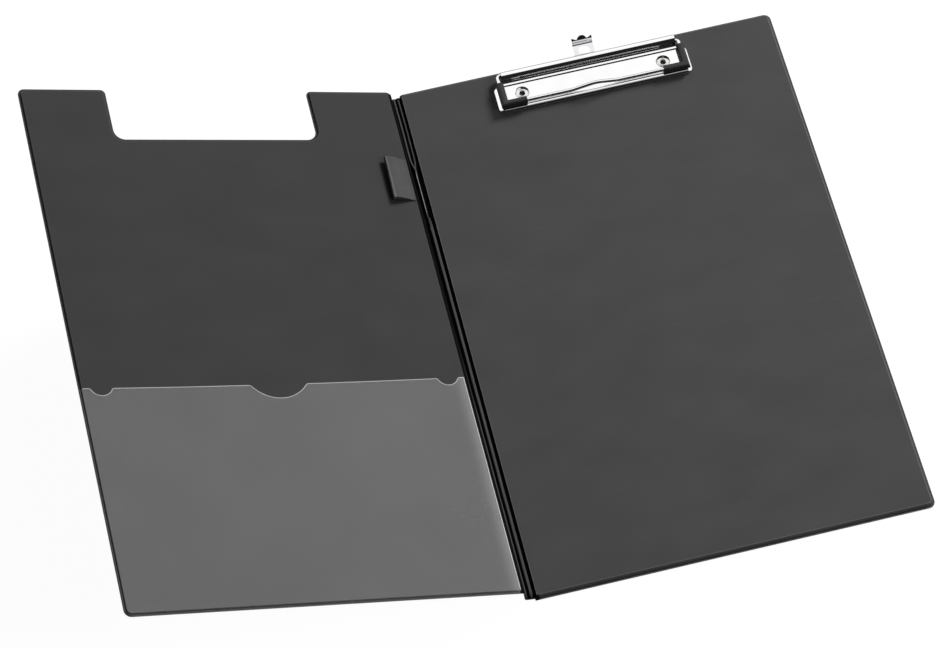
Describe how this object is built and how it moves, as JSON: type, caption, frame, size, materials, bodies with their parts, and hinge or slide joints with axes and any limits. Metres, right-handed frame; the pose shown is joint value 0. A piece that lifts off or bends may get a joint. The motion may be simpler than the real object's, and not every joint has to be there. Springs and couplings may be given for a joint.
{
  "type": "clipboard folder",
  "caption": "Fold-over clipboard: a vinyl-bound board and cover joined by a folding spine, with a sprung wire clip, pull-out hanging tab, film pocket and pen loop.",
  "frame": {"origin": "centre of the board's back face, on the surface that the board lies on", "axes": "+X from the spine across the board, +Y along the board towards the clip, +Z out of the board's writing side"},
  "size_m": [0.4481, 0.3491, 0.0983],
  "materials": {
    "black_vinyl": "fine leather grain, satin",
    "clear_vinyl": "frosted clear film",
    "greyboard": "rough pressed board",
    "chromed_steel": "bright plated sheet",
    "chromed_wire": "bright plated spring wire",
    "nickel_steel": "bright plated rivet",
    "black_rubber": "smooth, satin"
  },
  "bodies": {
    "board": {"rear_board_core": "greyboard", "rear_outer_skin": "black_vinyl", "rear_inner_skin": "black_vinyl", "clip_base_plate": "chromed_steel", "clip_rivets": "nickel_steel"},
    "spine": {"spine_outer_skin": "black_vinyl", "spine_inner_skin": "black_vinyl"},
    "cover": {"cover_board_core": "greyboard", "cover_outer_skin": "black_vinyl", "cover_inner_skin": "black_vinyl", "pocket_film": "clear_vinyl", "pen_loop": "black_vinyl"},
    "bail": {"wire_bail": "chromed_wire", "left_corner_grip": "black_rubber", "right_corner_grip": "black_rubber"},
    "hanger": {"hanger_tab": "chromed_steel"}
  },
  "joints": [
    {"name": "spine_fold", "type": "hinge", "parent": "board", "child": "spine", "pos_m": [-0.115, 0, 0.0003], "axis": [0, 1, 0], "range_deg": [-147, 33]},
    {"name": "cover_fold", "type": "hinge", "parent": "spine", "child": "cover", "pos_m": [-0.12061, 0, 0.00894], "axis": [0, 1, 0], "range_deg": [-55.6, 124.4]},
    {"name": "bail_pivot", "type": "hinge", "parent": "board", "child": "bail", "pos_m": [0, 0.1625, 0.0076], "axis": [-1, 0, 0], "range_deg": [0, 110], "stiffness_Nm_per_rad": 0.12, "springref_deg": -45.84},
    {"name": "hanger_slide", "type": "slide", "parent": "board", "child": "hanger", "axis": [0, 1, 0], "range_m": [-0.008, 0.004]}
  ]
}
